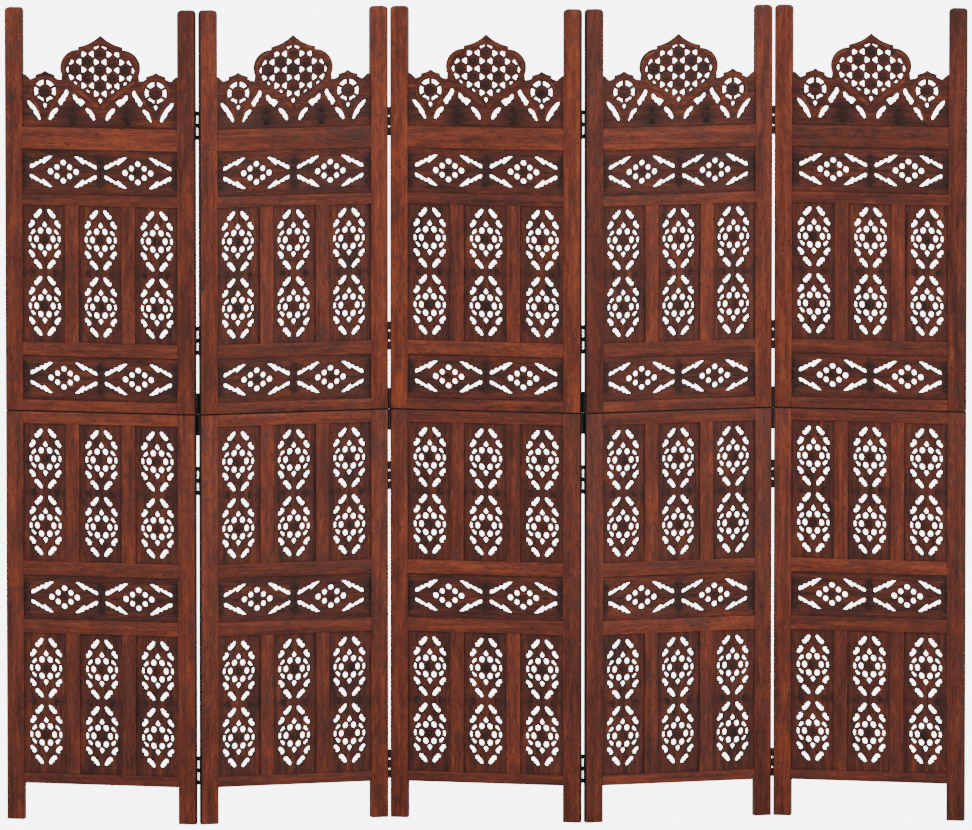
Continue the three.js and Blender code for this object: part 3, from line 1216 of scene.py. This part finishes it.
hinge = {
    "heights": (1417, 982, 698, 109),
    "length": 58,
    "plate": 1.0,
    "reach": 14,         # how far a plate runs in from the pin
    "tab": 4.5,          # only the knuckles reach over this much beside the pin
    "tabOverlap": 0.2,
    "barrel": 1.7,
    "bevel": 0.4,
    "knuckle": 9,
    "farKnuckle": 17,    # the folds that point away from the viewer have longer knuckles
    "pin": 0.7,
    "fit": 0.3,
    "seamLength": 86,    # the plates over the seam of the frames
    "seamPlay": 0.2,
}


def addBlock(work, low, high):
    points = [(x, y, z) for x in (low[0], high[0]) for y in (low[1], high[1]) for z in (low[2], high[2])]
    faces = [[0, 1, 3, 2], [4, 5, 7, 6], [0, 1, 5, 4], [2, 3, 7, 6], [0, 2, 6, 4], [1, 3, 7, 5]]
    addPart(work, points, faces, plainTone, "z")


def addRod(work, x, y, radius, low, high, sides=14):
    bevel = min(hinge["bevel"], radius / 3)
    levels = [(low, radius - bevel), (low + bevel, radius), (high - bevel, radius), (high, radius - bevel)]
    points = []
    for z, reach in levels:
        points += [(px, py, z) for px, py in ellipse(x, y, 2 * reach, 2 * reach, sides)]
    faces = ringFaces(4, sides)
    faces += [list(range(sides)), list(range(3 * sides, 4 * sides))]
    addPart(work, points, faces, plainTone, "z")


# Side is 1 on a panel's right edge and -1 on its left; face is 1 for a pin at the back and -1 in front
def makeHingeHalf(name, n, side, face, height, length, knuckles, pin):
    work = newWork()
    plateIn = halfWidth + hinge["fit"]
    pivotX = halfWidth + screen["postGap"] / 2
    pivotY = halfDepth + screen["pivotProud"]
    low, high = height - length / 2, height + length / 2
    xs = sorted((side * plateIn, side * (plateIn + hinge["plate"])))
    ys = sorted((face * (pivotY - hinge["tab"]), face * (pivotY - hinge["reach"])))
    addBlock(work, (xs[0], ys[0], low), (xs[1], ys[1], high))
    ys = sorted((face * pivotY, face * (pivotY - hinge["tab"] - hinge["tabOverlap"])))
    for start, stop in knuckles:
        addBlock(work, (xs[0], ys[0], height + start), (xs[1], ys[1], height + stop))
        addRod(work, side * pivotX, face * pivotY, hinge["barrel"], height + start, height + stop)
    if pin:
        addRod(work, side * pivotX, face * pivotY, hinge["pin"], low, high, 10)
    piece = finishPiece(work, name, n, "iron")
    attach(piece, f"panel_{n}")
    return piece


# The panel that holds the pin, for each fold
holders = {(1, 2): 2, (2, 3): 3, (3, 4): 3, (4, 5): 4}

for (left, right), holder in holders.items():
    face = 1 if left % 2 else -1
    side = 1 if holder == left else -1
    other = left if holder == right else right
    length = hinge["length"]
    knuckle = hinge["knuckle"] if face > 0 else hinge["farKnuckle"]
    ends = [(-length / 2, -length / 2 + knuckle), (length / 2 - knuckle, length / 2)]
    middle = [(-knuckle / 2, knuckle / 2)]
    for k, height in enumerate(hinge["heights"], 1):
        name = f"hinge{left}{right}n{k}"
        fixed = makeHingeHalf(name, holder, side, face, height, length, ends, True)
        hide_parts(f"hinge_{left}_{right}_{k}")
        makeHingeHalf(name + "Leaf", other, -side, face, height, length, middle, False)
    name = f"seamHinge{left}{right}"
    height, length, play = screen["seam"], hinge["seamLength"], hinge["seamPlay"]
    makeHingeHalf(name, holder, side, face, height, length, [(-length / 2, -play)], True)
    makeHingeHalf(name + "Leaf", other, -side, face, height, length, [(play, length / 2)], False)
print("hinges ready")


# Studio: pale floor, soft light and a very long lens

studio = {
    "distance": 30.0,
    "elevation": 6.4,
    "turn": 2.0,
    "target": (0, 0, 0.8245),
    "pixelsPerMetre": 495.2,
    "imageWidth": 972,
    "floor": (0.86, 0.85, 0.84, 1),
    "floorGlow": 6.0,
    "floorSize": 90,
    "floorDrop": 0.0005,
    "lightSize": 3.0,
    "lightTarget": (0, 0, 0.8),
}

# Where each light stands, and its power in watts
lights = {
    "key": ((-2.5, -4.5, 4.5), 108),
    "fill": ((3.5, -4.5, 2.8), 145),
}


# The floor looks white to the camera, but doesn't light the screen from below
def makeFloor():
    bpy.ops.mesh.primitive_plane_add(size=studio["floorSize"], location=(0, 0, -studio["floorDrop"]))
    floor = bpy.context.object
    floor.name = "studioFloor"
    material, tree, surface = newMaterial("paleFloor")
    seen = tree.nodes.new("ShaderNodeLightPath").outputs["Is Camera Ray"]
    feed(tree, surface, {
        "Base Color": studio["floor"],
        "Roughness": 0.9,
        "Specular IOR Level": 0.1,
        "Emission Color": (1, 1, 1, 1),
        "Emission Strength": mathNode(tree, "MULTIPLY", seen, studio["floorGlow"]),
    })
    floor.data.materials.append(material)


def makeLight(name, place, power):
    light = bpy.data.lights.new(name, "AREA")
    light.shape = "RECTANGLE"
    light.size = studio["lightSize"]
    light.size_y = studio["lightSize"]
    light.energy = power
    lamp = addObject(name, light)
    lamp.location = place
    aim = Vector(studio["lightTarget"]) - Vector(place)
    lamp.rotation_euler = aim.to_track_quat("-Z", "Y").to_euler()


def makeWorld():
    world = bpy.data.worlds.new("paleStudio")
    world.use_nodes = True
    background = world.node_tree.nodes["Background"]
    feed(world.node_tree, background, {"Color": (1, 1, 1, 1), "Strength": 1.0})
    bpy.context.scene.world = world


def makeCamera():
    camera = bpy.data.cameras.new("camera")
    camera.sensor_width = 36
    scale = studio["pixelsPerMetre"] * studio["distance"]
    camera.lens = scale * camera.sensor_width / studio["imageWidth"]
    camera.clip_end = 200
    viewer = addObject("camera", camera)
    elevation = math.radians(studio["elevation"])
    turn = math.radians(studio["turn"])
    level = math.cos(elevation)
    back = Vector((-math.sin(turn) * level, -math.cos(turn) * level, math.sin(elevation)))
    viewer.location = Vector(studio["target"]) + back * studio["distance"]
    viewer.rotation_euler = (-back).to_track_quat("-Z", "Y").to_euler()
    bpy.context.scene.camera = viewer


makeFloor()
makeWorld()
for name, (place, power) in lights.items():
    makeLight(name, place, power)
makeCamera()
print("studio ready")
